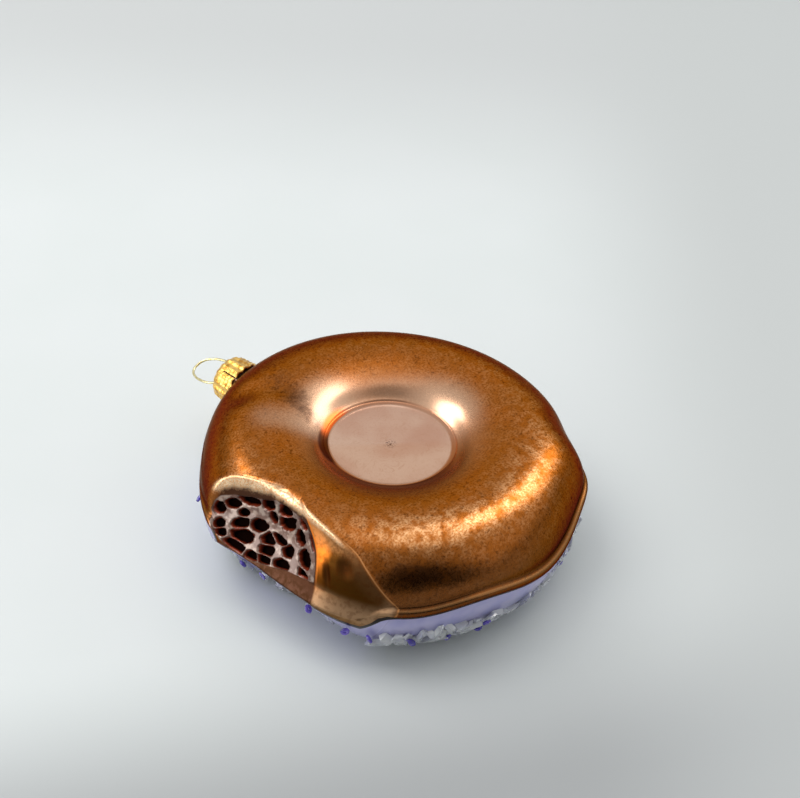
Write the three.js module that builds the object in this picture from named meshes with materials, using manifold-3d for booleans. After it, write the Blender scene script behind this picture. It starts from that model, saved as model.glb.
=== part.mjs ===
// A hanging glass ornament blown in the shape of an iced doughnut with a bite taken out of it.
// It lies icing down, so its plain dough side, with the shallow dimple of the hole, faces up.
// +Z is up out of the dough side, +Y runs from the doughnut's axis out through the cap and the hanger loop,
// and the bite is on the -X side. The origin is on the surface it lies on, under the middle of the whole.
// All sizes are in millimetres.
import * as THREE from "three";
import { mergeVertices } from "three/addons/utils/BufferGeometryUtils.js";
import Module from "manifold-3d";

const wasm = await Module();
wasm.setup();

// Driving dimensions. Heights of the glass are measured from the mould's parting plane.
const outerRadius = 48; // of the doughnut, on average
const crestRadius = 31.7; // of the ring's highest line, the same on both sides
const doughCrest = 17.2; // height of the dough side over the parting plane
const icingCrest = -15.3; // and of the icing side under it
const crystalStandOff = 1.8; // how far the crystals lift the icing off the surface
const partingHeight = crystalStandOff - icingCrest;
const fullness = 2.15; // exponent of the ring's section: 2 is an ellipse, more is squarer
const degree = Math.PI / 180;

const doughHole = { disc: 14.8, discHeight: 11.4, edge: 16.3, edgeHeight: 12.9 };
const icingHole = { disc: 12.6, discHeight: -8.6, edge: 14.2, edgeHeight: -10.3 };
const lip = { out: 0.9, under: -0.5, crease: 3.0 }; // the icing's rolled edge round the widest line
const plainLip = { azimuth: 128, width: 28, share: 0.9 }; // where the rolled edge almost fades out
const outlineWaves = [
  { lobes: 1, height: 0.16, from: 80 },
  { lobes: 2, height: 0.73, from: 52.4 },
  { lobes: 3, height: 0.57, from: -26.9 },
]; // how far the outline is from a circle
const outlineSwells = [
  { azimuth: 236, width: 26, height: -1.35 },
  { azimuth: 129, width: 22, height: -0.8 },
  { azimuth: 308, width: 9, height: 1.1 },
  { azimuth: 324, width: 9, height: -0.9 },
  { azimuth: 60, width: 60, height: 0.25 },
];
const lipMean = 0.656; // mean height of the icing's edge
const lipWaves = [
  { lobes: 1, height: 1.13, from: -150.4 },
  { lobes: 2, height: 1.03, from: 22.6 },
  { lobes: 3, height: 1.07, from: -35.9 },
  { lobes: 4, height: 0.33, from: 25.3 },
  { lobes: 5, height: 0.24, from: 30.2 },
  { lobes: 6, height: 0.75, from: 13.2 },
  { lobes: 7, height: 0.63, from: -1.3 },
  { lobes: 8, height: 0.42, from: 20.5 },
]; // how the icing's edge rises and falls

// The bite is two tooth marks side by side, cut into the ring's outer side: a wide hollow one full of pores,
// and a narrow flat one that fades out into the whole ring. A section angle is 0 at the parting plane, 90 at
// the dough's crest and -90 at the icing's. The marks are shallowest at the belly angle.
const bite = {
  belly: -5,
  // Where the wide mark begins, the edge between the marks, and where the narrow mark ends.
  left: { azimuth: 153.2, from: 38, pull: 0.0131, power: 1.95, atBelly: 7.5, bellyWidth: 14 },
  cusp: { azimuth: 199.2, pull: 3.19e-9, power: 5 },
  right: { azimuth: 224.2, widest: 12.6, pull: 0.3, from: 50, bend: 0.0128, power: 2.2 },
  wide: { shallow: 4, deep: 7.9, at: 42, reach: 40, round: 1.8, shoulder: 0.8 },
  narrow: { pitch: 0.095, more: 0.175, over: 50 }, // depth gained for each degree from its end
};
// The wide mark's pores: azimuth, section angle, half length, half width and turn.
const pores = [
  [159.0, 35.7, 2.1, 1.1, 43], [163.8, 54.0, 2.9, 1.2, 40], [171.2, 66.3, 1.8, 1.6, 21], [179.6, 71.1, 1.9, 2.2, 50],
  [156.0, 21.9, 1.6, 1.4, 37], [163.4, 36.6, 1.4, 0.9, 41], [164.0, 22.2, 2.5, 1.2, 41], [170.4, 37.5, 2.3, 1.4, 26],
  [181.6, 64.5, 2.5, 1.8, 26], [158.4, 9.0, 1.4, 1.2, 30], [160.4, 4.2, 1.4, 1.0, 12], [166.8, 11.7, 3.1, 1.6, 19],
  [176.2, 30.3, 2.0, 1.6, 33], [180.2, 40.8, 2.6, 0.9, -1], [166.2, -0.6, 3.0, 1.6, 8], [177.4, 16.2, 2.2, 1.5, 24],
  [185.6, 33.3, 1.6, 1.4, 27], [173.4, -0.6, 1.9, 1.4, 13], [178.0, 5.1, 1.9, 1.2, 7], [185.0, 12.0, 2.2, 1.4, 13],
  [189.0, 57.3, 1.3, 1.8, 31], [193.0, 36.6, 1.6, 2.2, 37], [188.6, 69.9, 1.0, 2.1, 24], [194.4, 58.2, 0.7, 2.2, 17],
  [194.2, 14.4, 1.1, 2.1, 50], [174.8, 60.3, 1.1, 1.5, 61],
];
const poreDepth = 1.3;
const crystals = { count: 88, long: 4.2, short: 3.1, thick: 2.7, from: 20, to: 152 };
const beads = { count: 18, radius: 1.15, height: 1.5, from: 14, to: 120 };

// The neck, the cap and the hanger, measured out from the doughnut's axis.
const neckRise = 0.6; // how far their middle line is over the parting plane
const neck = { radius: 4.8, bore: 4.1, boreDepth: 7, end: 56.3, flare: 6.4, flareEnd: 49.4 };
const cap = { rim: 50.1, top: 57.4, rimRadius: 6.5, sheet: 0.45, pleats: 16, pleat: 0.16 };
const slit = { count: 2, width: 0.4, length: 4.6, at: 125 };
const wire = { radius: 0.32, tilt: 20, hole: 2.95, width: 3.35, length: 11.4, depth: 6.3, lean: 15 };

const looks = {
  glass: { color: 0x9a5a26, roughness: 0.35, metalness: 0.55 },
  cap: { color: 0xd9a520, roughness: 0.3, metalness: 1 },
  wire: { color: 0xb9ae62, roughness: 0.3, metalness: 1 },
};

// Small helpers.

function waves(list, angle) {
  return list.reduce((sum, w) => sum + w.height * Math.cos(w.lobes * (angle - w.from * degree)), 0);
}

// How far the outline is from a circle at an azimuth in degrees.
function outline(azimuth) {
  const swells = outlineSwells.map(({ azimuth: at, width, height }) => swell(azimuth, at, width) * height);
  return waves(outlineWaves, azimuth * degree) + swells.reduce((sum, height) => sum + height, 0);
}

// A rise of 1 round one azimuth.
function swell(azimuth, at, width) {
  const apart = THREE.MathUtils.euclideanModulo(azimuth - at + 180, 360) - 180;
  return Math.exp(-((apart / width) ** 2));
}

// A number from 0 to 1 that is always the same for the same piece and purpose.
function draw(piece, purpose) {
  const value = Math.sin(piece * 12.9898 + purpose * 78.233) * 43758.5453;
  return value - Math.floor(value);
}

// Moves every vertex of a geometry to where the function puts it.
function moveVertices(geometry, place) {
  const position = geometry.getAttribute("position");
  const point = new THREE.Vector3();
  for (let i = 0; i < position.count; i++) {
    point.fromBufferAttribute(position, i);
    place(point);
    position.setXYZ(i, point.x, point.y, point.z);
  }
  return geometry;
}

// A geometry as a closed solid with shared vertices.
function toSolid(geometry) {
  geometry.deleteAttribute("normal");
  geometry.deleteAttribute("uv");
  const merged = mergeVertices(geometry, 1e-4);
  const corners = merged.getIndex().array;
  const kept = [];
  for (let i = 0; i < corners.length; i += 3) {
    const [a, b, c] = corners.slice(i, i + 3);
    if (a !== b && b !== c && c !== a) kept.push(a, b, c);
  }
  const vertProperties = Float32Array.from(merged.getAttribute("position").array);
  return new wasm.Manifold(new wasm.Mesh({ numProp: 3, vertProperties, triVerts: Uint32Array.from(kept) }));
}

function toGeometry(solid) {
  const mesh = solid.getMesh();
  const geometry = new THREE.BufferGeometry();
  geometry.setAttribute("position", new THREE.BufferAttribute(mesh.vertProperties, 3));
  geometry.setIndex(new THREE.BufferAttribute(mesh.triVerts, 1));
  geometry.computeVertexNormals();
  return geometry;
}

// The largest shell alone: hollows that fusing has sealed are filled, and loose scraps dropped.
function soundPart(solid) {
  return solid.decompose().reduce((best, shell) => (shell.volume() > best.volume() ? shell : best));
}

function makePiece(name, solid, look) {
  const mesh = new THREE.Mesh(toGeometry(solid), new THREE.MeshStandardMaterial(look));
  mesh.name = name;
  return mesh;
}

// The ring of glass, worked out in the plane of one azimuth: how far out a point is, and how high.

// Reach of the ring's section from the middle of the ring at a section angle.
function sectionReach(angle) {
  const crest = angle > 0 ? doughCrest : -icingCrest;
  const across = Math.abs(Math.cos(angle * degree)) / (outerRadius - crestRadius);
  const up = Math.abs(Math.sin(angle * degree)) / crest;
  return (across ** fullness + up ** fullness) ** (-1 / fullness);
}

function onSection(angle, sunk = 0) {
  const reach = sectionReach(angle) - sunk;
  return [crestRadius + reach * Math.cos(angle * degree), reach * Math.sin(angle * degree)];
}

// The funnel from a crest down into a hole, from the hole's edge outwards.
function funnel(hole, crest, count) {
  const points = [];
  for (let i = 0; i < count; i++) {
    const radius = hole.edge + ((crestRadius - hole.edge) * i) / count;
    const share = (crestRadius - radius) / (crestRadius - hole.edge);
    points.push([radius, crest + (hole.edgeHeight - crest) * share ** 1.8]);
  }
  return points;
}

function arc(from, to, steps) {
  const angles = Array.from({ length: steps + 1 }, (_, i) => from + ((to - from) * i) / steps);
  return angles.map((angle) => onSection(angle));
}

function ringProfile() {
  const icingDisc = [[0, icingHole.discHeight], [icingHole.disc, icingHole.discHeight]];
  const doughDisc = [[doughHole.disc, doughHole.discHeight], [0, doughHole.discHeight]];
  const rolledEdge = [
    [outerRadius - 0.2, lip.under],
    [outerRadius + 0.6 * lip.out, 0.1],
    [outerRadius + lip.out, 1.3],
    [outerRadius + 0.4 * lip.out, 2.4],
    [outerRadius - 0.6, lip.crease],
  ];
  return [
    ...icingDisc,
    ...funnel(icingHole, icingCrest, 4),
    ...arc(-90, -8, 9),
    ...rolledEdge,
    ...arc(19, 90, 13),
    ...funnel(doughHole, doughCrest, 5).reverse(),
    ...doughDisc,
  ].map(([radius, height]) => new THREE.Vector2(radius, height));
}

// The bite.

// The section angle on the dough side that the bite has the same form at.
function mirrored(angle) {
  return angle < bite.belly ? bite.belly + 1.1 * (bite.belly - angle) : angle;
}

function leftEnd(angle) {
  const { azimuth, from, pull, power, atBelly, bellyWidth } = bite.left;
  const shift = atBelly * Math.exp(-(((mirrored(angle) - bite.belly) / bellyWidth) ** 2));
  return azimuth + shift + pull * Math.max(mirrored(angle) - from, 0) ** power;
}

function cuspAt(angle) {
  const { azimuth, pull, power } = bite.cusp;
  return Math.max(azimuth - pull * (mirrored(angle) - bite.belly) ** power, leftEnd(angle) + 2);
}

function rightEnd(angle) {
  const { azimuth, widest, pull, from, bend, power } = bite.right;
  const apart = angle > widest ? angle - widest : 0.5 * (widest - angle);
  return azimuth - pull * apart - bend * Math.max(apart + widest - from, 0) ** power;
}

// How far the narrow mark is sunk at an azimuth.
function narrowSunk(azimuth, angle) {
  const { pitch, more, over } = bite.narrow;
  const rise = Math.min(Math.abs(mirrored(angle) - bite.belly) / over, 1);
  return (pitch + more * rise ** 0.6) * Math.max(rightEnd(angle) - azimuth, 0);
}

// How far the wide mark is sunk along its middle.
function deepest(angle) {
  const { shallow, deep, at, reach } = bite.wide;
  const above = mirrored(angle) - at;
  if (above > reach) return 0;
  if (above > 0) return deep * (1 - (above / reach) ** 2.2);
  return shallow + (deep - shallow) * (1 - (above / (at - bite.belly)) ** 2);
}

// How far the surface is sunk below the whole ring.
function sunkBy(azimuth, angle) {
  const left = leftEnd(angle);
  const cusp = cuspAt(angle);
  const middle = (left + cusp) / 2;
  if (azimuth < left || Math.abs(angle) > 90) return 0;
  if (azimuth > cusp) return narrowSunk(azimuth, angle);
  const across = Math.abs(azimuth - middle) / (cusp - middle);
  const deep = deepest(angle);
  if (azimuth < middle) return deep * Math.max(1 - across ** bite.wide.round, 0) ** bite.wide.shoulder;
  return deep + (Math.min(narrowSunk(cusp, angle), deep) - deep) * across ** 2.2;
}

// The lathe's columns are moved so that some of them run along the marks' ends and the cusp.
const columns = { wide: 10, narrow: 6, whole: 40 };

function columnAzimuth(column, angle) {
  const held = THREE.MathUtils.clamp(angle, -64, 76);
  const ends = [leftEnd(held), cuspAt(held), rightEnd(held), leftEnd(held) + 360];
  const counts = [columns.wide, columns.narrow, columns.whole];
  let rest = column;
  let part = 0;
  while (part < 2 && rest > counts[part]) rest -= counts[part++];
  return ends[part] + ((ends[part + 1] - ends[part]) * rest) / counts[part];
}

function makeRing() {
  const profile = ringProfile();
  const count = columns.wide + columns.narrow + columns.whole;
  const geometry = new THREE.LatheGeometry(profile, count).rotateX(90 * degree);
  const turn = 360 / count;
  moveVertices(geometry, (point) => {
    const radius = Math.hypot(point.x, point.y);
    const column = Math.round((Math.atan2(point.y, point.x) / degree + 720) / turn) % count;
    const outer = radius > crestRadius - 0.01;
    const firstAngle = Math.atan2(point.z, Math.max(radius - crestRadius, 0.01)) / degree;
    const azimuth = columnAzimuth(column, firstAngle);
    const bitten = Math.min(sunkBy(azimuth, firstAngle), 1);
    const outside = THREE.MathUtils.smoothstep(radius, crestRadius, outerRadius) * (1 - bitten);
    const wave = outside * Math.exp(-((point.z / 8) ** 2)) * (lipMean + waves(lipWaves, azimuth * degree));
    const height = point.z + wave;
    const angle = Math.atan2(height, radius - crestRadius) / degree;
    const reach = Math.max(Math.hypot(radius - crestRadius, height), 0.01);
    const plain = Math.max(bitten, plainLip.share * swell(azimuth, plainLip.azimuth, plainLip.width));
    const proud = outer ? (reach - sectionReach(angle)) * (Math.abs(point.z) < 4 ? plain : 0) : 0;
    const share = outer ? 1 - (sunkBy(azimuth, angle) + proud) / reach : 1;
    const kept = outer ? crestRadius + (radius - crestRadius) * share : radius;
    point.copy(spot(azimuth, kept, outer ? height * share : point.z));
  });
  return toSolid(geometry);
}

// A unit frame on a surface: across, up it, and out of it.
function frameOn(surface, azimuth, angle) {
  const across = surface(azimuth + 0.5, angle).sub(surface(azimuth - 0.5, angle)).normalize();
  const up = surface(azimuth, angle + 0.8).sub(surface(azimuth, angle - 0.8)).normalize();
  const out = new THREE.Vector3().crossVectors(across, up).normalize();
  return new THREE.Matrix4().makeBasis(across, new THREE.Vector3().crossVectors(out, across), out);
}

// A point of the ring: its outer side follows the outline.
function spot(azimuth, radius, height) {
  const grown = radius + THREE.MathUtils.smoothstep(radius, crestRadius, outerRadius) * outline(azimuth);
  return new THREE.Vector3(Math.cos(azimuth * degree) * grown, Math.sin(azimuth * degree) * grown, height);
}

function onWall(azimuth, angle) {
  return spot(azimuth, ...onSection(angle, sunkBy(azimuth, angle)));
}

function makePore([azimuth, angle, halfLength, halfWidth, turn]) {
  const geometry = new THREE.SphereGeometry(1, 7, 4).scale(halfLength, halfWidth, poreDepth);
  geometry.rotateZ(turn * degree).applyMatrix4(frameOn(onWall, azimuth, angle));
  const centre = onWall(azimuth, angle);
  return toSolid(geometry.translate(centre.x, centre.y, centre.z));
}

// The crystals and beads glued to the icing.

// A point of the icing side: turn is the angle from the widest line, over the crest, to the hole.
function icingPoint(azimuth, turn) {
  if (turn < 90) return spot(azimuth, ...onSection(-turn));
  const share = Math.min((turn - 90) / 70, 1);
  const radius = crestRadius - (crestRadius - icingHole.edge) * share;
  return spot(azimuth, radius, icingCrest + (icingHole.edgeHeight - icingCrest) * share ** 1.8);
}

// The places wind round the icing by the golden angle, with those in the bite or at the neck left out.
function scatter({ count, from, to }, start) {
  const places = [];
  for (let piece = 0; piece < count; piece++) {
    const azimuth = (start + piece * 137.508 + 6 * draw(piece, 9)) % 360;
    const turn = from + (to - from) * ((piece + draw(piece, 10)) / count);
    const atNeck = Math.abs(azimuth - 90) < 9 && turn < 35;
    const bitten = azimuth > leftEnd(-turn) - 2 && azimuth < rightEnd(-turn) && turn < 85;
    if (!atNeck && !bitten) places.push({ azimuth, turn, piece });
  }
  return places;
}

function placeOnIcing(geometry, azimuth, turn, spin, lean) {
  const out = frameOn(icingPoint, azimuth, turn);
  const turned = new THREE.Matrix4().makeRotationFromEuler(new THREE.Euler(lean, lean * 0.7, spin));
  const centre = icingPoint(azimuth, turn);
  geometry.applyMatrix4(turned).applyMatrix4(out);
  return toSolid(geometry.translate(centre.x, centre.y, centre.z));
}

// A broken lump: eight faces whose corners are each pulled in by their own amount.
function makeCrystal({ azimuth, turn, piece }) {
  const size = 0.72 + 0.28 * draw(piece, 11);
  const lump = new THREE.OctahedronGeometry(1).rotateX(0.6).rotateY(0.5);
  moveVertices(lump, (point) => {
    const corner = Math.round(3 * point.x + 5 * point.y + 7 * point.z) + 20;
    point.multiply(new THREE.Vector3(crystals.long, crystals.short, crystals.thick));
    point.multiplyScalar(size * (0.7 + 0.3 * draw(piece, corner)));
    point.z += 0.4 * (draw(piece, 12) - 0.5);
  });
  return placeOnIcing(lump, azimuth, turn, 2 * Math.PI * draw(piece, 13), 0.5 * (draw(piece, 14) - 0.5));
}

function makeBead({ azimuth, turn, piece }) {
  const { radius, height } = beads;
  const bead = new THREE.CylinderGeometry(0.72 * radius, radius, height, 6).rotateX(90 * degree);
  bead.translate(0, 0, 0.3 * height);
  return placeOnIcing(bead, azimuth, turn, 2 * Math.PI * draw(piece, 15), 0);
}

// The neck that the cap covers: a flared glass tube with an open end.
function makeNeck() {
  const { radius, bore, boreDepth, end, flare, flareEnd } = neck;
  const outside = [[0, 40], [flare, 40], [flare, 46.8], [radius, flareEnd], [radius, end]];
  const inside = [[bore, end], [bore, end - boreDepth], [0, end - boreDepth]];
  const profile = [...outside, ...inside].map(([across, along]) => new THREE.Vector2(across, along));
  return toSolid(new THREE.LatheGeometry(profile, 18).translate(0, 0, neckRise));
}

function makeGlass() {
  const toppings = [...scatter(crystals, 40).map(makeCrystal), ...scatter(beads, 275).map(makeBead)];
  const aboveGround = toSolid(new THREE.BoxGeometry(400, 400, 200).translate(0, 0, 100 - partingHeight));
  const glass = pores
    .map(makePore)
    .reduce((solid, pore) => solid.subtract(pore), makeRing())
    .add(makeNeck())
    .add(toppings.reduce((sum, piece) => sum.add(piece)))
    .intersect(aboveGround);
  return soundPart(glass);
}

// The cap: a pleated cup of thin sheet over the neck, with slits up from its rim and two holes for the wire.
function makeCap() {
  const { rim, top, rimRadius, sheet, pleats, pleat } = cap;
  const outer = [[0, top], [3.7, top], [5, top - 0.4], [5.8, top - 1.1], [6.1, top - 2.1], [rimRadius, rim]];
  const inner = outer.map(([radius, along], i) => [
    Math.max(radius - (i > 1 ? sheet : 0.25 * i), 0),
    i === outer.length - 1 ? rim : along - (i > 2 ? 0.2 : sheet + 0.1),
  ]);
  const profile = [...inner, ...outer.reverse()].map(([radius, along]) => new THREE.Vector2(radius, along));
  const geometry = new THREE.LatheGeometry(profile, 3 * pleats);
  moveVertices(geometry, (point) => {
    const radius = Math.hypot(point.x, point.z);
    const grown = radius + (radius > 4 ? pleat * Math.cos(pleats * Math.atan2(point.z, point.x)) : 0);
    const stretch = radius > 0 ? grown / radius : 1;
    point.set(point.x * stretch, point.y, point.z * stretch);
  });
  let solid = toSolid(geometry);
  for (let i = 0; i < slit.count; i++) {
    const blade = new THREE.BoxGeometry(slit.width, slit.length, 4).translate(0, rim + slit.length / 2 - 0.2, 5.6);
    solid = solid.subtract(toSolid(blade.rotateY((90 - slit.at + 180 * i) * degree)));
  }
  for (const side of [-1, 1]) {
    const hole = new THREE.CylinderGeometry(wire.radius + 0.3, wire.radius + 0.3, 3, 12);
    hole.translate(side * wire.hole, top, 0).rotateY(-wire.tilt * degree);
    solid = solid.subtract(toSolid(hole));
  }
  return solid.translate([0, 0, neckRise]);
}

// The hanger: one wire from inside the neck, out through the cap, round the loop and back in.
function makeLoop() {
  const { width, length } = wire;
  const half = [
    [wire.hole, cap.top - wire.depth],
    [wire.hole, cap.top - 3],
    [wire.hole, cap.top - 0.2],
    [0.97 * width, cap.top + 0.23 * length],
    [width, cap.top + 0.5 * length],
    [0.84 * width, cap.top + 0.77 * length],
    [0.48 * width, cap.top + 0.95 * length],
  ];
  const route = [...half, [0, cap.top + length], ...half.map(([across, along]) => [-across, along]).reverse()];
  const turn = wire.tilt * degree;
  const curve = new THREE.CatmullRomCurve3(route.map(([across, along]) => {
    const drop = Math.max(along - cap.top, 0) * Math.tan(wire.lean * degree);
    return new THREE.Vector3(across * Math.cos(turn), along, across * Math.sin(turn) + neckRise - drop);
  }));
  const section = new THREE.Shape();
  section.absarc(0, 0, wire.radius, 0, 2 * Math.PI);
  const settings = { steps: 40, curveSegments: 7, extrudePath: curve };
  return toSolid(new THREE.ExtrudeGeometry(section, settings));
}

const doughnutOrnament = new THREE.Group();
doughnutOrnament.add(
  makePiece("glass_doughnut", makeGlass(), looks.glass),
  makePiece("cap", makeCap(), looks.cap),
  makePiece("hanger_loop", makeLoop(), looks.wire),
);

// The frame's origin is under the middle of the whole.
const middle = new THREE.Box3().setFromObject(doughnutOrnament).getCenter(new THREE.Vector3());
doughnutOrnament.position.set(-middle.x, -middle.y, partingHeight);

export default doughnutOrnament;
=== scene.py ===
import math

import bpy
import numpy as np
from mathutils import Matrix, Vector


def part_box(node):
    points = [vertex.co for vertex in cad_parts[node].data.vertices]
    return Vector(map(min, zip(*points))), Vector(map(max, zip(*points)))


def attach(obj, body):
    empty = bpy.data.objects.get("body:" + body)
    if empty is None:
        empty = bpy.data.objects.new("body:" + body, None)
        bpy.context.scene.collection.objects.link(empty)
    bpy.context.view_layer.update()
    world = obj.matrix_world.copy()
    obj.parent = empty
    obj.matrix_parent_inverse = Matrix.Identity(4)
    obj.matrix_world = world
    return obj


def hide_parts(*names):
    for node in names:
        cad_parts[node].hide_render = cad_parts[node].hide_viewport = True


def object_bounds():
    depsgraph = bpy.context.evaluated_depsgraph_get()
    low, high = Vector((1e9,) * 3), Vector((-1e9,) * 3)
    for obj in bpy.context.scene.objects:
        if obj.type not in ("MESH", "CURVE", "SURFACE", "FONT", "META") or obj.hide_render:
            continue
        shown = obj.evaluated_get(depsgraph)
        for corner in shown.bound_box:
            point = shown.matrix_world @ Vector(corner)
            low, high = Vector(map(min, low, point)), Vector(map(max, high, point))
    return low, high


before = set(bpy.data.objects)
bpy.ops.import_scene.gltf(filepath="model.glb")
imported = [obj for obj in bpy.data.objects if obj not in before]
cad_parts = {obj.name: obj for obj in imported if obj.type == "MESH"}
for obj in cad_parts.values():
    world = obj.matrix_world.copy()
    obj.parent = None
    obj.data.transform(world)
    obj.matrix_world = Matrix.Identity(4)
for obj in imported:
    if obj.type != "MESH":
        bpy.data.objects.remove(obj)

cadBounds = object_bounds()
degree = math.pi / 180
mm = 0.001

# The doughnut's sizes are in millimetres, from its own axis and its mould's parting plane.
doughnut = {
    "outerRadius": 48.0,
    "crestRadius": 31.7,
    "doughCrest": 17.2,
    "icingCrest": -15.3,
    "fullness": 2.15,
    "outlineWaves": [(1, 0.16, 80.0), (2, 0.73, 52.4), (3, 0.57, -26.9)],
    "outlineSwells": [
        (236, 26, -1.35), (129, 22, -0.8), (308, 9, 1.1), (324, 9, -0.9), (60, 60, 0.25),
    ],
    "lipWaves": [
        (0, 0.66, 0), (1, 1.13, -150.4), (2, 1.03, 22.6), (3, 1.07, -35.9), (4, 0.33, 25.3),
        (5, 0.24, 30.2), (6, 0.75, 13.2), (7, 0.63, -1.3), (8, 0.42, 20.5),
    ],
    "plainLip": (128, 28, 0.9),  # where the icing's rolled edge almost fades out
    # Small dents in the dough side: azimuth, distance from the axis, size and depth.
    "dents": [
        (2, 25.0, 1.6, 0.16), (113, 39.0, 4.5, 1.1), (105, 30.5, 4.0, 0.8), (320, 22.0, 2.2, 0.08),
    ],
    "doughHole": {
        "disc": 14.8, "discHeight": 11.4, "edge": 16.3, "edgeHeight": 12.9, "drop": 1.0,
    },
    "icingHole": {
        "disc": 12.6, "discHeight": -8.6, "edge": 14.2, "edgeHeight": -10.3, "drop": -0.8,
    },
    "dropWidth": 2.6,  # how far out the funnel's last steep drop reaches
    "lift": (222, 72, 0.6),  # where that drop is less steep: azimuth, half width and height
    "funnelCurve": 1.8,
}
capRim = 50.1  # how far the cap's rim is from the doughnut's axis
neckRise = 0.6  # and how far the middle of the neck, cap and hanger is over the parting plane

capLow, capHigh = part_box("cap")
axisX = 500 * (capLow[0] + capHigh[0])
axisY = 1000 * capLow[1] - capRim
partingHeight = 500 * (capLow[2] + capHigh[2]) - neckRise


def enter(mode):
    bpy.ops.object.mode_set(mode=mode)


def selectMesh(action):
    bpy.ops.mesh.select_all(action=action)


def pointOutwards():  # all the faces of the piece in edit mode, which is then left
    selectMesh("SELECT")
    bpy.ops.mesh.normals_make_consistent(inside=False)
    enter("OBJECT")


def deleteChosen(kind, parts, chosen):  # vertices or faces of the active piece
    enter("EDIT")
    bpy.ops.mesh.select_mode(type=kind)
    selectMesh("DESELECT")
    enter("OBJECT")
    parts.foreach_set("select", chosen)
    enter("EDIT")
    bpy.ops.mesh.delete(type=kind)
    bpy.ops.mesh.select_mode(type="VERT")
    enter("OBJECT")


def deselectAll():
    if bpy.context.object and bpy.context.object.mode != "OBJECT":
        enter("OBJECT")
    bpy.ops.object.select_all(action="DESELECT")


def pick(piece):
    deselectAll()
    piece.select_set(True)
    bpy.context.view_layer.objects.active = piece


def getPoints(piece):
    points = np.empty(len(piece.data.vertices) * 3)
    piece.data.vertices.foreach_get("co", points)
    return points.reshape(-1, 3)


def setPoints(piece, points):
    piece.data.vertices.foreach_set("co", np.ascontiguousarray(points, dtype=float).ravel())
    piece.data.update()


def setMask(piece, name, values):
    mask = piece.data.attributes.new(name, "FLOAT", "POINT")
    mask.data.foreach_set("value", np.ascontiguousarray(values, dtype=np.float32))


def inFrame(points):  # from the doughnut's own millimetres to the frame's metres
    return (points + np.array([axisX, axisY, partingHeight])) * mm


def smoothStep(low, high, value):
    t = np.clip((value - low) / (high - low), 0, 1)
    return t * t * (3 - 2 * t)


def waves(listed, azimuth):  # each wave's number of lobes, height and start
    return sum(high * np.cos(lobes * (azimuth - start) * degree) for lobes, high, start in listed)


def swell(azimuth, centre, width, height):  # a rise round one azimuth
    apart = (azimuth - centre + 180) % 360 - 180
    return height * np.exp(-(apart / width) ** 2)


# The ring's section, at angles from -90 at the icing's crest to 90 at the dough's.
def sectionReach(angle):
    d = doughnut
    crest = np.where(angle > 0, d["doughCrest"], -d["icingCrest"])
    across = np.abs(np.cos(angle * degree)) / (d["outerRadius"] - d["crestRadius"])
    up = np.abs(np.sin(angle * degree)) / crest
    return (across ** d["fullness"] + up ** d["fullness"]) ** (-1 / d["fullness"])


def outsideShare(radius):
    return smoothStep(doughnut["crestRadius"], doughnut["outerRadius"], radius)


# The bite, which is two tooth marks: a wide hollow one full of pores and a narrow flat one.
bite = {
    "belly": -5.0,  # the section angle that the edges mirror about
    "mirror": 1.1,  # how much faster they run under it
    "left": {
        "azimuth": 153.2, "from": 38.0, "pull": 0.0131, "power": 1.95, "atBelly": 7.5,
        "bellyWidth": 14.0,
    },
    "cusp": {"azimuth": 199.2, "pull": 3.19e-9, "power": 5.0, "offLeft": 8.0, "soft": 3.0},
    "right": {
        "azimuth": 224.2, "widest": 12.6, "pull": 0.3, "from": 50.0, "bend": 0.0128, "power": 2.2,
    },
    "wide": {
        "shallow": 4.0, "deep": 7.9, "at": 42.0, "reach": 40.0, "round": 1.8, "shoulder": 0.8,
        "power": 2.2,
    },
    "narrow": {"pitch": 0.095, "more": 0.175, "over": 50.0, "power": 0.6},
    "wideSoft": 2.2,  # how far its edges are rounded over
    "narrowSoft": 0.35,
    "paintEdge": -3.6,  # height of the icing's paint inside the bite
    # The edge of the part with pores, and the rounded ridge over the bite: azimuth and section
    # angle of each point.
    "net": [
        (154, 25), (155, 33), (158, 44), (164, 58), (169, 66), (174, 73), (179, 74.5), (185, 73),
        (190, 69), (194, 61), (196.5, 49), (198, 34), (198.3, 15), (193, 13), (188, 11), (183.5, 6),
        (179, 1), (174, -3), (170, -4), (165, -4), (161, -2), (158.5, 1), (156, 8), (154, 16),
    ],
    "ridge": [
        (152.3, 20), (152.7, 33), (153.5, 42), (156, 51), (160, 60.5), (166, 70), (171.5, 77),
        (177, 79.5), (185, 77.5), (192, 73), (198, 68.5), (203, 63.5), (207.5, 57.5), (211, 51),
    ],
    "ridgeHeight": 0.3,
    "ridgeWidth": 1.3,
    # Soft dents in the narrow mark, listed as the pores are.
    "hollows": [(202.3, 32, 1.1, 3.4, 12), (208.2, 42, 2.3, 2.9, 20)],
    "hollowDepth": 0.35,
}
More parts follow.
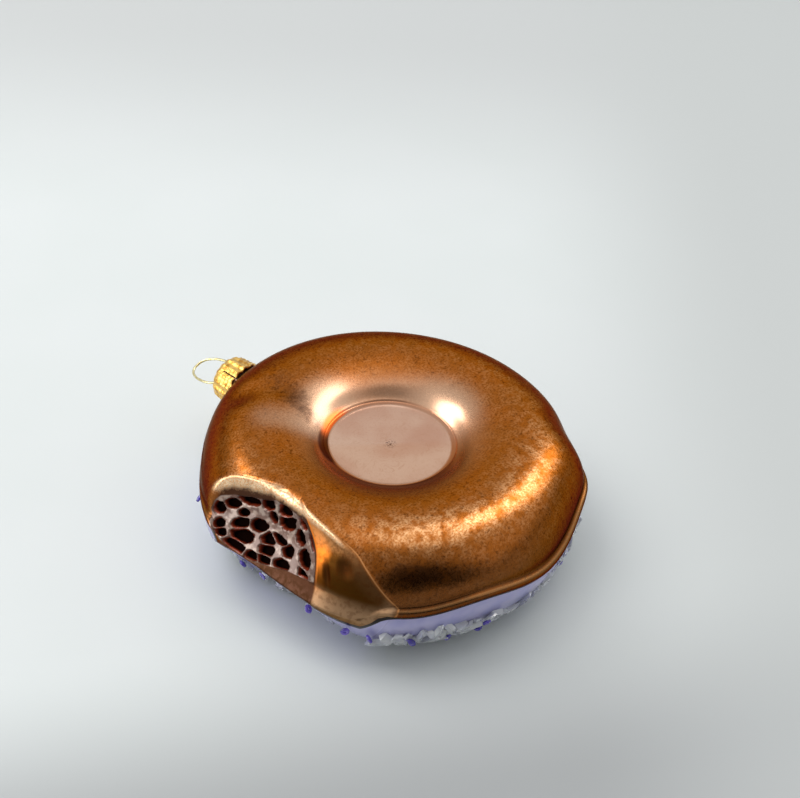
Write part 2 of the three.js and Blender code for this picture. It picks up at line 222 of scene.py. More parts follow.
pores = {
    "depth": 1.7,
    "reach": 1.22,  # of their size, if no other pore is near
    "rounding": 0.12,
    "strand": -0.04,
    "slope": 0.4,
    "wallShare": 0.8,
    "ragged": 0.13,
    "raggedSize": 0.55,
    # Each pore of the wide mark: azimuth, section angle, half length, half width and turn.
    "places": [
        (159.0, 35.7, 2.1, 1.1, 43), (163.8, 54.0, 2.9, 1.2, 40), (171.2, 66.3, 1.8, 1.6, 21),
        (179.6, 71.1, 1.9, 2.2, 50), (156.0, 21.9, 1.6, 1.4, 37), (163.4, 36.6, 1.4, 0.9, 41),
        (164.0, 22.2, 2.5, 1.2, 41), (170.4, 37.5, 2.3, 1.4, 26), (181.6, 64.5, 2.5, 1.8, 26),
        (158.4, 9.0, 1.4, 1.2, 30), (160.4, 4.2, 1.4, 1.0, 12), (166.8, 11.7, 3.1, 1.6, 19),
        (176.2, 30.3, 2.0, 1.6, 33), (180.2, 40.8, 2.6, 0.9, -1), (166.2, -0.6, 3.0, 1.6, 8),
        (177.4, 16.2, 2.2, 1.5, 24), (185.6, 33.3, 1.6, 1.4, 27), (173.4, -0.6, 1.9, 1.4, 13),
        (178.0, 5.1, 1.9, 1.2, 7), (185.0, 12.0, 2.2, 1.4, 13), (189.0, 57.3, 1.3, 1.8, 31),
        (193.0, 36.6, 1.6, 2.2, 37), (188.6, 69.9, 1.0, 2.1, 24), (194.4, 58.2, 0.7, 2.2, 17),
        (194.2, 14.4, 1.1, 2.1, 50), (174.8, 60.3, 1.1, 1.5, 61),
    ],
}


def softened(depth, width):  # what is over zero, with its start rounded
    return np.maximum(depth, 0) + np.maximum(width - np.abs(depth), 0) ** 2 / (4 * width)


def mirrored(angle):
    belly = bite["belly"]
    return np.where(angle < belly, belly + bite["mirror"] * (belly - angle), angle)


def leftEnd(angle):
    left = bite["left"]
    angle = mirrored(angle)
    atBelly = left["atBelly"] * np.exp(-((angle - bite["belly"]) / left["bellyWidth"]) ** 2)
    atTop = left["pull"] * np.maximum(angle - left["from"], 0) ** left["power"]
    return left["azimuth"] + atBelly + atTop


def cuspAt(angle):
    cusp = bite["cusp"]
    edge = cusp["azimuth"] - cusp["pull"] * (mirrored(angle) - bite["belly"]) ** cusp["power"]
    return edge + softened(leftEnd(angle) + cusp["offLeft"] - edge, cusp["soft"])


def rightEnd(angle):
    right = bite["right"]
    over = angle - right["widest"]
    apart = np.where(over > 0, over, -0.5 * over)
    bent = np.maximum(apart + right["widest"] - right["from"], 0)
    return right["azimuth"] - right["pull"] * apart - right["bend"] * bent ** right["power"]


def narrowSunk(azimuth, angle):
    narrow = bite["narrow"]
    rise = np.minimum(np.abs(mirrored(angle) - bite["belly"]) / narrow["over"], 1)
    pitch = narrow["pitch"] + narrow["more"] * rise ** narrow["power"]
    return pitch * (rightEnd(angle) - azimuth)


def deepest(angle):
    wide = bite["wide"]
    above = mirrored(angle) - wide["at"]
    high = wide["deep"] * (1 - np.maximum(above / wide["reach"], 0) ** wide["power"])
    less = (above / (wide["at"] - bite["belly"])) ** 2
    low = wide["shallow"] + (wide["deep"] - wide["shallow"]) * (1 - less)
    return np.where(above > 0, high, low)


def sunkBy(azimuth, angle):
    left, cusp, deep = leftEnd(angle), cuspAt(angle), deepest(angle)
    middle = (left + cusp) / 2
    across = (azimuth - middle) / (cusp - middle)
    base = 1 - np.abs(across) ** bite["wide"]["round"]
    signed = np.sign(base) * np.abs(base) ** bite["wide"]["shoulder"]
    # Past the mark's edges all this keeps falling, so that no kink shows where it ends.
    steep = np.where(signed > 0, deep, np.maximum(deep, 2))
    fromLeft = np.where(deep > 0, signed * steep, deep + 2 * np.minimum(signed, 0))
    atCusp = np.minimum(np.maximum(narrowSunk(cusp, angle), 0), np.maximum(deep, 0))
    share = np.maximum(across, 0) ** bite["wide"]["power"]
    toCusp = deep + (atCusp - np.maximum(deep, 0)) * share - 4 * np.maximum(across - 1, 0)
    wide = softened(np.where(across < 0, fromLeft, toCusp), bite["wideSoft"])
    narrow = softened(narrowSunk(azimuth, angle), bite["narrowSoft"])
    blend = smoothStep(-0.5, 0.5, azimuth - cusp) * smoothStep(80, 68, angle)
    return np.where(np.abs(angle) > 90, 0, wide * (1 - blend) + narrow * blend)


def outline(azimuth):  # how far the outline is from a circle
    swells = sum(swell(azimuth, *one) for one in doughnut["outlineSwells"])
    return waves(doughnut["outlineWaves"], azimuth) + swells


def onRing(radius, azimuth, height):
    grown = radius + outsideShare(radius) * outline(azimuth)
    azimuth = azimuth * degree
    return np.stack([np.cos(azimuth) * grown, np.sin(azimuth) * grown, height], axis=-1)


def onWall(azimuth, angle):
    azimuth, angle = np.asarray(azimuth, float), np.asarray(angle, float)
    reach = sectionReach(angle) - sunkBy(azimuth, angle)
    radius = doughnut["crestRadius"] + reach * np.cos(angle * degree)
    return onRing(radius, azimuth, reach * np.sin(angle * degree))


# The glass body: half a circle is shaped to the doughnut's section and spun round its axis.
glass = {
    "columns": 500,
    "biteColumns": 262,  # how many of them run through the bite
    "biteFrom": 150.0,
    "biteTo": 228.0,
    "lipTop": 2.4,  # height of the icing's rolled edge, from the parting plane
    "lipStart": -0.3,
    "lipOut": 0.85,
    "lipLeast": 0.3,
    "crease": 0.28,  # depth of the crease over it
    "creaseWidth": 0.45,
    "creaseEnd": 2.6,
    "under": -0.4,  # the icing's side under it
    "underFrom": -3.4,
    "fit": 0.9972,  # keeps the body inside the solids' box
}
wallAcross = 0.79  # millimetres to a degree of azimuth on the outer wall, near enough
wallUp = 0.288  # and to a degree of section angle


def lipShape(height):  # how far the icing's rolled edge stands out of the plain section
    g = glass
    top, low = g["lipTop"], g["lipStart"]
    crest = np.sin(np.clip(height / top, 0, 1) * math.pi) ** 0.8
    rolled = g["lipLeast"] + (g["lipOut"] - g["lipLeast"]) * crest
    rolled = rolled - (rolled + g["crease"]) * smoothStep(top - 0.5, top + g["creaseWidth"], height)
    rolled = rolled + g["crease"] * smoothStep(top + g["creaseWidth"], top + g["creaseEnd"], height)
    under = g["under"] * smoothStep(g["underFrom"], low, height)
    return np.where(height > low, under + (rolled - under) * smoothStep(low, 0.05, height), under)


def funnelHeight(radius, hole, crest):
    d = doughnut
    share = np.clip((d["crestRadius"] - radius) / (d["crestRadius"] - hole["edge"]), 0, 1)
    drop = hole["drop"] * np.exp(-((radius - hole["edge"]) / d["dropWidth"]) ** 2)
    return crest + (hole["edgeHeight"] - crest) * share ** d["funnelCurve"] - drop


# From the disc out to the funnel: a low bead round the disc, then a nearly flat band. Shares of
# its width and its rise.
holeStep = [
    (-0.9, 0), (-0.45, 0.0), (-0.25, 0.1), (-0.08, 0.28), (0.08, 0.38), (0.22, 0.38), (0.36, 0.35),
    (0.5, 0.35), (0.64, 0.38), (0.76, 0.44), (0.86, 0.55), (0.94, 0.76), (1.0, 1.0),
]


def holePoints(hole, crest, pimple):
    flat = (0, 0.4, 0.8, 1.3, 2.2, 5, 8, 11) if pimple else (0, 4, 8, 11)
    disc = [(r, hole["discHeight"] + pimple * math.exp(-(r / 0.8) ** 2)) for r in flat]
    wide = hole["edge"] - hole["disc"]
    high = hole["edgeHeight"] - hole["drop"] - hole["discHeight"]
    step = [(hole["disc"] + wide * out, hole["discHeight"] + high * rise) for out, rise in holeStep]
    shares = np.linspace(0, 1, 20 if pimple else 9)[1:-1] ** 1.35
    radii = hole["edge"] + (doughnut["crestRadius"] - hole["edge"]) * shares
    return disc + step + [(r, float(funnelHeight(r, hole, crest))) for r in radii]


def sectionPoints():
    d = doughnut
    lipHeights = [
        -3.3, -2.6, -1.9, -1.3, -0.8, -0.5, -0.3, -0.18, -0.06, 0.05, 0.2, 0.4, 0.65, 0.95, 1.25,
        1.55, 1.8, 2.0, 2.2, 2.4, 2.6, 2.8, 3.0, 3.3, 3.7, 4.2, 4.8,
    ]
    lipAngles = [math.degrees(math.atan2(h, 16.25)) for h in lipHeights]
    angles = [*np.linspace(-90, -14.5, 22), *lipAngles, *np.linspace(18, 84, 78), 86, 88, 90]
    ring = []
    for angle in angles:
        reach = float(sectionReach(np.float64(angle)))
        height = reach * math.sin(angle * degree)
        radius = d["crestRadius"] + reach * math.cos(angle * degree)
        ring.append((radius + float(lipShape(np.float64(height))), height))
    icing = holePoints(d["icingHole"], d["icingCrest"], 0)
    dough = holePoints(d["doughHole"], d["doughCrest"], 0.1)
    return icing + ring + dough[::-1]


def spinProfile(name, profile, steps):  # radius and height of each point, spun round the Z axis
    deselectAll()
    upright = (math.pi / 2, 0, 0)
    bpy.ops.mesh.primitive_circle_add(vertices=2 * len(profile), radius=1, rotation=upright)
    piece = bpy.context.object
    piece.name = piece.data.name = name
    bpy.ops.object.transform_apply(rotation=True)
    half = len(profile)
    deleteChosen("VERT", piece.data.vertices, [i >= half for i in range(2 * half)])
    setPoints(piece, np.array([(radius, 0, height) for radius, height in profile]))
    enter("EDIT")
    selectMesh("SELECT")
    bpy.ops.mesh.spin(steps=steps, angle=2 * math.pi, center=(0, 0, 0), axis=(0, 0, 1))
    selectMesh("SELECT")
    bpy.ops.mesh.remove_doubles(threshold=0.001)
    pointOutwards()
    return piece


def spreadColumns(azimuth):  # more of the columns run through the bite
    g = glass
    whole = azimuth % 360
    cut = 360 * g["biteColumns"] / g["columns"]
    inBite = g["biteFrom"] + (g["biteTo"] - g["biteFrom"]) * whole / cut
    rest = g["biteTo"] + (360 - g["biteTo"] + g["biteFrom"]) * (whole - cut) / (360 - cut)
    return np.where(whole < cut, inBite, rest)


def flatOnWall(azimuth, angle):  # millimetres across and up the outer wall
    flat = [wallAcross * (np.asarray(azimuth, float) - 180), wallUp * np.asarray(angle, float)]
    return np.stack(flat, axis=-1)


def awayFrom(points, line, closed=False):  # distance to a line, and how far along it that is
    ends = flatOnWall(*np.array(line).T)
    ends = np.concatenate([ends, ends[:1]]) if closed else ends
    best = np.full(len(points), 1e9)
    along = np.zeros(len(points))
    for number, (start, end) in enumerate(zip(ends[:-1], ends[1:])):
        run = end - start
        share = np.clip(((points - start) @ run) / (run @ run), 0, 1)
        away = np.linalg.norm(points - start - share[:, None] * run, axis=1)
        along = np.where(away < best, (number + share) / (len(ends) - 1), along)
        best = np.minimum(best, away)
    return best, along


def insideOf(points, line):  # true inside a closed line
    ends = flatOnWall(*np.array(line).T)
    inside = np.zeros(len(points), bool)
    for (x0, y0), (x1, y1) in zip(ends, np.roll(ends, -1, axis=0)):
        crosses = (y0 > points[:, 1]) != (y1 > points[:, 1])
        at = x0 + (points[:, 1] - y0) * (x1 - x0) / (y1 - y0 if y1 != y0 else 1e-9)
        inside ^= crosses & (points[:, 0] < at)
    return inside


def wobble(points, size):  # a smooth uneven value from -1 to 1
    x, y, z = (points / size).T
    slow = np.sin(x + 1.3 * np.sin(y * 1.7 + 2)) * np.cos(z * 1.2 + np.sin(x * 1.9))
    return slow * 0.6 + 0.4 * np.sin(y * 2.1 + z * 1.6)


def directionsAt(placeAt, azimuth, turn, upTurn):  # across, up and out of the glass there
    across = placeAt(azimuth + 0.5, turn) - placeAt(azimuth - 0.5, turn)
    up = placeAt(azimuth, turn + upTurn) - placeAt(azimuth, turn - upTurn)
    across /= np.linalg.norm(across, axis=-1, keepdims=True)
    out = np.cross(across, up)
    out /= np.linalg.norm(out, axis=-1, keepdims=True)
    return np.stack([across, np.cross(out, across), out], axis=-1)


# How near points are to an oval on the wall, as a share of its size, and the way out there.
def placeSpot(shaped, near, azimuthAt, angleAt, halfLength, halfWidth, turn):
    across, up, out = directionsAt(onWall, azimuthAt, angleAt, 0.8).T
    offset = shaped[near] - onWall(azimuthAt, angleAt)
    u, v = offset @ across, offset @ up
    c, s = math.cos(turn * degree), math.sin(turn * degree)
    edge = np.hypot((u * c + v * s) / halfLength, (v * c - u * s) / halfWidth)
    return np.where(np.abs(offset @ out) < 4, edge, 9), out


# Paler gold where the brown lacquer is thinner, set where the lit band on the crest falls, so it is
# partly a painted highlight: azimuth, half width, amount, distance from the axis and half depth.
thinLacquerAndHighlight = [
    (244, 26, 1.1, 36.5, 4.5), (290, 28, 0.75, 36, 5.0), (224, 18, 0.6, 36, 4.0),
    (160, 14, 0.25, 38, 5.0), (20, 30, 0.14, 38, 6.0), (345, 20, 0.15, 36, 6.0),
]
# Where it is so thin that the pink under it shows, in from a distance from the axis. It is set
# where the funnel's highlights and pink glow fall, so it is partly a painted highlight.
lacquerRosy = [
    (96, 24, 1.0, 20, 7.0), (352, 30, 1.0, 18, 8.0), (45, 30, 0.45, 17, 5.0),
    (128, 11, 0.5, 30, 6.0),
]
# And painted shade: dark patches that stand in for dark reflections on the near flank and in the
# valley from the neck to the hole.
darkReflectionPatches = [
    (228, 9, 0.9, 44.4, 2.0), (243, 14, 0.5, 45.5, 2.0), (117, 9, 0.65, 21, 3.5),
    (108, 9, 0.6, 26, 4.5), (100, 10, 0.5, 32, 6.0),
]
# The groove round the disc, with the swells of painted shade in it and of an orange-red painted
# reflection.
groove = {
    "from": (15.0, 15.4),
    "to": (16.4, 18.5),
    "pooled": [(138, 26, 1), (228, 62, 0.4)],
    "glowing": (104, 19, 1),
}


def patches(listed, azimuth, radius, inwards=False):
    total = 0
    for side, wide, amount, at, deep in listed:
        away = np.maximum(radius - at, 0) if inwards else radius - at
        total = total + swell(azimuth, side, wide, amount) * np.exp(-(away / deep) ** 2)
    return total


def sinkPores(shaped, near, toNet):  # gives how deep in a pore each point is, from 0 to 1
    p = pores
    spots = [placeSpot(shaped, near, *place) for place in p["places"]]
    ragged = p["ragged"] * wobble(shaped[near], p["raggedSize"])
    edges = np.array([edge for edge, _ in spots]) + ragged
    order = np.argsort(edges, axis=0)
    first, second = (np.take_along_axis(edges, order[row:row + 1], 0)[0] for row in (0, 1))
    share = p["wallShare"]
    limits = np.stack([p["reach"] - first, share * (second - first), share * toNet[near]])
    room = -p["rounding"] * np.log(np.exp(-limits / p["rounding"]).sum(axis=0))
    sunk = smoothStep(p["strand"], p["slope"], room)
    outs = np.array([out for _, out in spots])[order[0]]
    shaped[near] -= outs * (p["depth"] * sunk)[:, None]
    inPores = np.zeros(len(shaped))
    inPores[near] = sunk
    return inPores


def sinkHollows(shaped, near):
    inHollows = np.zeros(len(shaped))
    for place in bite["hollows"]:
        edge, out = placeSpot(shaped, near, *place)
        shaped[near] -= out * (bite["hollowDepth"] * smoothStep(1.2, 0.1, edge))[:, None]
        inHollows[near] = np.maximum(inHollows[near], smoothStep(1.5, 0.1, edge))
    return inHollows


def sinkDents(shaped, onDough):
    for azimuth, radius, size, depth in doughnut["dents"]:
        centre = onRing(np.float64(radius), np.float64(azimuth), 0)
        away = np.hypot(shaped[:, 0] - centre[0], shaped[:, 1] - centre[1])
        shaped[:, 2] -= depth * np.exp(-(away / size) ** 2) * onDough


def liftFunnel(azimuth, radius):  # how much higher the funnel's last drop is on the near side
    edge = doughnut["doughHole"]["edge"]
    side, wide, lift = doughnut["lift"]
    out = np.exp(-((radius - edge) / doughnut["dropWidth"]) ** 2)
    lifted = np.where(radius > edge, out, smoothStep(15.2, edge, radius))
    return lift * swell(azimuth, side, wide, 1) * lifted


def shapeGlassBody(body):
    crestRadius = doughnut["crestRadius"]
    points = getPoints(body)
    radius = np.hypot(points[:, 0], points[:, 1])
    height = points[:, 2].copy()
    azimuth = spreadColumns(np.degrees(np.arctan2(points[:, 1], points[:, 0])))
    fromCrest = radius - crestRadius
    outer = fromCrest > -0.01
    height += np.where(height > 0, liftFunnel(azimuth, radius), 0) * ~outer
    # The lip's waves, and the bite. Each point goes in along its own line to the ring's middle.
    firstAngle = np.degrees(np.arctan2(height, np.maximum(fromCrest, 0.01)))
    bitten = np.clip(sunkBy(azimuth, firstAngle), 0, 1)
    outside = outsideShare(radius) * (1 - bitten)
    waved = height + outside * np.exp(-(height / 8) ** 2) * waves(doughnut["lipWaves"], azimuth)
    angle = np.degrees(np.arctan2(waved, np.maximum(fromCrest, 0.001)))
    reach = np.maximum(np.hypot(fromCrest, waved), 0.01)
    plain = np.maximum(bitten, swell(azimuth, *doughnut["plainLip"]))
    proud = (reach - sectionReach(angle)) * np.where(np.abs(height) < 5.5, plain, 0)
    flat = flatOnWall(azimuth, angle)
    toRidge, along = awayFrom(flat, bite["ridge"])
    ridgeWidth = bite["ridgeWidth"] * (1 - 0.5 * smoothStep(0.5, 0.8, along))
    ridge = np.exp(-(toRidge / ridgeWidth) ** 2) * smoothStep(0, 0.12, along)
    ridge = ridge * (1 - smoothStep(0.8, 1, along)) * outer
    toNet, _ = awayFrom(flat, bite["net"], closed=True)
    toNet = np.where(insideOf(flat, bite["net"]) & outer, toNet, -toNet)
    sunk = sunkBy(azimuth, angle) - bite["ridgeHeight"] * ridge
    share = np.where(outer, 1 - (sunk + proud) / reach, 1)
    newRadius = np.where(outer, crestRadius + fromCrest * share, radius)
    newHeight = np.where(outer, waved * share, height)
    shaped = onRing(newRadius, azimuth, newHeight)
    cusp = cuspAt(angle)
    inPores = sinkPores(shaped, np.flatnonzero(outer & (toNet > -1)), toNet)
    onFacet = outer & (azimuth > 196) & (azimuth < 224) & (angle > -5) & (angle < 80)
    inHollows = sinkHollows(shaped, np.flatnonzero(onFacet))
    sinkDents(shaped, height > 8)
    setPoints(body, inFrame(shaped * glass["fit"]))

    top = height > 0
    wideSide, narrowSide = (smoothStep(way, -way, azimuth - cusp) * outer for way in (0.35, -0.35))
    overPaint = (height + 0.12) * (1 - bitten) + (newHeight - bite["paintEdge"]) * bitten
    inGroove = smoothStep(*groove["from"], radius) * (1 - smoothStep(*groove["to"], radius)) * top
    pooled = np.maximum(*(swell(azimuth, *one) for one in groove["pooled"]))
    masks = {
        "overPaint": np.where(outer, overPaint, height),
        "wideMark": smoothStep(0.5, 1.6, sunk) * wideSide,
        "narrowMark": smoothStep(0.02, 0.25, sunk) * narrowSide,
        "sectionAngle": angle,
        "pores": inPores,
        "toNet": np.where(outer, toNet, -9),
        "ridge": ridge,
        "toCusp": wallAcross * (azimuth - cusp) * outer,
        "toFacetEnd": np.where(outer, wallAcross * (rightEnd(angle) - azimuth), 9),
        "hollows": inHollows,
        "fromAxis": newRadius,
        "thin": patches(thinLacquerAndHighlight, azimuth, radius) * top,
        "thick": patches(darkReflectionPatches, azimuth, radius) * top,
        "rosy": patches(lacquerRosy, azimuth, radius, inwards=True) * top,
        "pooled": pooled * inGroove,
        "glowing": swell(azimuth, *groove["glowing"]) * inGroove,
    }
    for name, values in masks.items():
        setMask(body, name, values)


# The neck under the cap, the cap itself and its wire, all measured out from the doughnut's axis.
neck = {
    "base": 45.0,
    "flare": 6.4,
    "flareFrom": 46.5,
    "radius": 4.75,
    "from": 49.3,
    "end": 56.2,
    "round": 0.3,
    "wall": 0.7,
    "columns": 48,
}
cap = {
    "rim": capRim,
    "top": 57.4,
    "sideRadius": 6.08,
    "sideFrom": 2.3,  # under the top
    "rimRadius": 6.5,
    "sheet": 0.35,
    "pleats": 16,
    "columns": 12,  # for each pleat
    "pleat": 0.15,
    "frill": 0.12,  # how far the pleats run in and out along the rim
    "crimps": [0.07, 1.15],  # their height and spacing
    "slitAt": 125.0,  # degrees round the neck, and again opposite
    "slitLength": 4.6,
    # The rounded top, as a radius and how far under the top it is.
    "edge": [
        (0, 0), (1.2, 0), (2.4, 0), (3.3, 0), (3.9, 0.02), (4.5, 0.14), (5.0, 0.38), (5.4, 0.68),
        (5.7, 1.05), (5.9, 1.5), (6.05, 2.0),
    ],
}
wire = {
    "radius": 0.34,
    "tilt": 20.0,
    "lean": 15.0,
    "hole": 2.95,
    "width": 4.0,
    "length": 11.35,
    # Half of the loop, as shares of its width and length.
    "loop": [(0.97, 0.23), (1.0, 0.5), (0.84, 0.77), (0.48, 0.95)],
    "legs": [6.2, 3.0, 0.2],  # places of the leg under the cap's top
}


def alongNeck(points):  # stands a piece made upright on the ring's cap end
    turned = np.stack([points[:, 0], points[:, 2], -points[:, 1]], axis=-1)
    return inFrame(turned + np.array([0, 0, neckRise]))


def makeNeck():
    n = neck
    inner, soft = n["radius"] - n["wall"], n["round"]
    profile = [(0, n["base"]), (n["flare"] - 0.6, n["base"]), (n["flare"], n["flareFrom"])]
    for t in np.linspace(0.15, 1, 8):
        out = n["radius"] + (n["flare"] - n["radius"]) * (1 - t) ** 2
        profile.append((out, n["flareFrom"] + (n["from"] - n["flareFrom"]) * t))
    profile += [(n["radius"], n["end"] - soft), (n["radius"] - soft / 2, n["end"])]
    profile += [(inner + soft / 2, n["end"]), (inner, n["end"] - soft)]
    profile += [(inner, n["from"]), (0, n["from"])]
    piece = spinProfile("neck", profile, n["columns"])
    setPoints(piece, alongNeck(getPoints(piece)))
    return piece


def makeCap():
    c = cap
    top, rim = c["top"], c["rim"]
    edge = [(radius, top - under) for radius, under in c["edge"]]
    sideTop, wider = top - c["sideFrom"], c["rimRadius"] - c["sideRadius"]
    side = []
    for height in np.linspace(sideTop, rim, 24):
        share = (sideTop - height) / (sideTop - rim)
        side.append((c["sideRadius"] + wider * share ** 1.4, height))
    count = c["pleats"] * c["columns"]
    piece = spinProfile("capSheet", edge + side, count)
    points = getPoints(piece)
    radius = np.hypot(points[:, 0], points[:, 1])
    turn = np.degrees(np.arctan2(points[:, 1], points[:, 0]))
    amount = smoothStep(3.4, 5.9, radius)
    ridge = np.cos(c["pleats"] * turn * degree)
    crimpHeight, crimpSpacing = c["crimps"]
    uneven = 0.5 * np.sin(3 * turn * degree)
    crimps = crimpHeight * np.cos(2 * math.pi * (points[:, 2] - rim) / crimpSpacing + uneven)
    grown = radius + amount * (c["pleat"] * ridge + crimps * (0.6 + 0.4 * ridge))
    stretch = np.where(radius > 0, grown / np.maximum(radius, 1e-6), 1)
    points[:, :2] *= stretch[:, None]
    points[:, 2] += c["frill"] * ridge * smoothStep(rim + 0.6, rim, points[:, 2])
    setPoints(piece, points)
    cutSlits(piece, turn, points[:, 2])
    setPoints(piece, alongNeck(getPoints(piece)))
    enter("EDIT")
    pointOutwards()
    sheet = piece.modifiers.new("sheet", "SOLIDIFY")
    sheet.thickness = c["sheet"] * mm
    sheet.offset = -1
    sheet.use_even_offset = False
    bpy.ops.object.modifier_apply(modifier="sheet")
    return piece


def cutSlits(piece, turn, height):  # two narrow slots up from the rim
    c = cap
    step = 360 / (c["pleats"] * c["columns"])
    chosen = []
    for polygon in piece.data.polygons:
        corners = list(polygon.vertices)
        middleTurn = np.degrees(np.angle(np.mean(np.exp(1j * turn[corners] * degree))))
        away = abs((middleTurn + c["slitAt"] + 90) % 180 - 90)
        chosen.append(away < step * 0.9 and height[corners].mean() < c["rim"] + c["slitLength"])
    deleteChosen("FACE", piece.data.polygons, chosen)


def makeHanger():
    w = wire
    top = cap["top"]
    half = [(w["hole"], top - under) for under in w["legs"]]
    half += [(wide * w["width"], top + long * w["length"]) for wide, long in w["loop"]]
    route = half + [(0, top + w["length"])] + [(-across, along) for across, along in half[::-1]]
    turn = w["tilt"] * degree
    deselectAll()
    bpy.ops.curve.primitive_bezier_curve_add()
    piece = bpy.context.object
    piece.name = piece.data.name = "hangerWire"
    spline = piece.data.splines[0]
    spline.bezier_points.add(len(route) - 2)
    for point, (across, along) in zip(spline.bezier_points, route):
        drop = max(along - top, 0) * math.tan(w["lean"] * degree)
        rise = across * math.sin(turn) + neckRise - drop
        point.co = inFrame(np.array([across * math.cos(turn), along, rise]))
        point.handle_left_type = point.handle_right_type = "AUTO"
    piece.data.dimensions = "3D"
    piece.data.resolution_u = 9
    piece.data.bevel_depth = w["radius"] * mm
    piece.data.bevel_resolution = 4
    piece.data.use_fill_caps = True
    bpy.ops.object.convert(target="MESH")
    piece = bpy.context.object
    smooth(piece)
    return piece


def smooth(piece, angle=None):
    pick(piece)
    if angle is None:
        bpy.ops.object.shade_smooth()
    else:
        bpy.ops.object.shade_smooth_by_angle(angle=angle * degree)


# The broken glass and the beads glued to the icing. Turns are degrees round the icing's side, with
# 0 at the widest line, 90 at the icing's crest and 160 at the hole's edge.
crystals = {
    "shapes": 9,
    "cuts": 5,
    "spacing": 2.5,
    "turns": (12.0, 158.0),
    "size": (2.6, 4.8),
    # A chip's width and thickness as shares of its length: the least, and what may be added.
    "wide": (0.55, 0.35),
    "thick": (0.3, 0.25),
    "lean": 0.42,
    "jitter": 0.7,
    "seed": 23,
    "inBite": 0.05,  # share of them left in the bite
    "biteTop": 85,
    "neckBare": (11, 33),  # none is nearer the neck, in azimuth and turn
    "proud": 1.3,  # how far a tip may stand out
    # The turn at which they begin, at each azimuth.
    "from": [
        (0, 16), (60, 14), (80, 22), (96, 50), (120, 60), (190, 50), (200, 27), (212, 16),
        (226, 14), (245, 17), (265, 22), (290, 18), (320, 14), (360, 16),
    ],
}
beads = {
    "radius": 0.72,
    "thick": 0.42,
    "lift": 0.95,
    "lean": 0.5,
    "count": 90,
    "seed": 5,
    "turns": (24.0, 150.0),
    # Those that the photograph shows: azimuth and turn.
    "places": [
        (180, 8), (136, 18), (210, 25), (217, 23), (268, 47), (279, 41), (158, 62), (228, 26),
        (240, 34), (197, 30),
    ],
}
mmPerTurn = 0.27  # along the icing's section, near enough
ground = 0.03 - partingHeight


def icingPlace(azimuth, turn):
    azimuth, turn = np.asarray(azimuth, float), np.asarray(turn, float)
    side = onWall(azimuth, -np.minimum(turn, 89.9))
    share = np.clip((turn - 90) / 70, 0, 1)
    hole, crest = doughnut["icingHole"], doughnut["icingCrest"]
    radius = doughnut["crestRadius"] - (doughnut["crestRadius"] - hole["edge"]) * share
    height = crest + (hole["edgeHeight"] - crest) * share ** doughnut["funnelCurve"]
    return np.where((turn < 90)[..., None], side, onRing(radius, azimuth, height))


def icingSpots(azimuth, turn):  # each place and its directions
    return zip(icingPlace(azimuth, turn), directionsAt(icingPlace, azimuth, turn, -0.8))


def spreadPlaces(spacing, fromTurn, toTurn, generator):
    azimuths, turns = [], []
    jitter = crystals["jitter"]
    turn = fromTurn
    while turn < toTurn:
        radius = float(np.hypot(*icingPlace(30.0, turn)[:2]))
        count = int(2 * math.pi * radius / spacing)
        shift = generator.random()
        along = np.arange(count) + shift + jitter * (generator.random(count) - 0.5)
        azimuths.append(along * 360 / count % 360)
        turns.append(turn + jitter * (generator.random(count) - 0.5) * spacing / mmPerTurn)
        turn += spacing / mmPerTurn * (1 if turn < 90 else 1.1)
    return np.concatenate(azimuths), np.concatenate(turns)


# Where nothing is glued: in the bite, and along the rolled edge and at the neck.
def bareIcing(azimuth, turn):
    c = crystals
    inBite = (azimuth > leftEnd(-turn) - 1) & (azimuth < rightEnd(-turn) + 0.5)
    atEdge = turn < np.interp(azimuth % 360, *np.array(c["from"], float).T)
    beside, up = c["neckBare"]
    atNeck = (np.abs(azimuth - 90) < beside) & (turn < up)
    return inBite & (turn < c["biteTop"]), atEdge | atNeck


def brokenLump(number, generator):  # a cube that is cut by planes till it is a chip of glass
    deselectAll()
    bpy.ops.mesh.primitive_cube_add(size=2)
    lump = bpy.context.object
    lump.name = f"lump{number}"
    enter("EDIT")
    for _ in range(crystals["cuts"]):
        direction = generator.normal(size=3)
        direction /= np.linalg.norm(direction)
        selectMesh("SELECT")
        place = direction * (0.5 + 0.4 * generator.random())
        bpy.ops.mesh.bisect(plane_co=place, plane_no=direction, use_fill=True, clear_outer=True)
    pointOutwards()
    return lump


def meshParts(piece):
    corners = [tuple(polygon.vertices) for polygon in piece.data.polygons]
    return getPoints(piece), corners


def keepInBox(points):
    low, high = (np.array(corner) for corner in cadBounds)
    return np.clip(points, low + 0.02 * mm, high - 0.02 * mm)


def joinCopies(name, placed):  # one mesh from many placed copies, each a pair of points and faces
    points, faces = [], []
    start = 0
    for copyPoints, copyFaces in placed:
        points.append(copyPoints)
        faces += [tuple(corner + start for corner in face) for face in copyFaces]
        start += len(copyPoints)
    mesh = bpy.data.meshes.new(name)
    mesh.from_pydata(keepInBox(np.concatenate(points)).tolist(), [], faces)
    mesh.update()
    piece = bpy.data.objects.new(name, mesh)
    bpy.context.scene.collection.objects.link(piece)
    return piece


def turnMatrix(generator, lean):
    turned = Matrix.Rotation(generator.random() * 2 * math.pi, 3, "Z")
    for axis in "XY":
        turned = turned @ Matrix.Rotation(lean * generator.normal(), 3, axis)
    return np.array(turned)


def onIcing(place, axes, local):  # a copy's points, from millimetres over the icing to the frame
    world = place + local @ axes.T
    world[:, 2] = np.maximum(world[:, 2], ground)
    return inFrame(world)


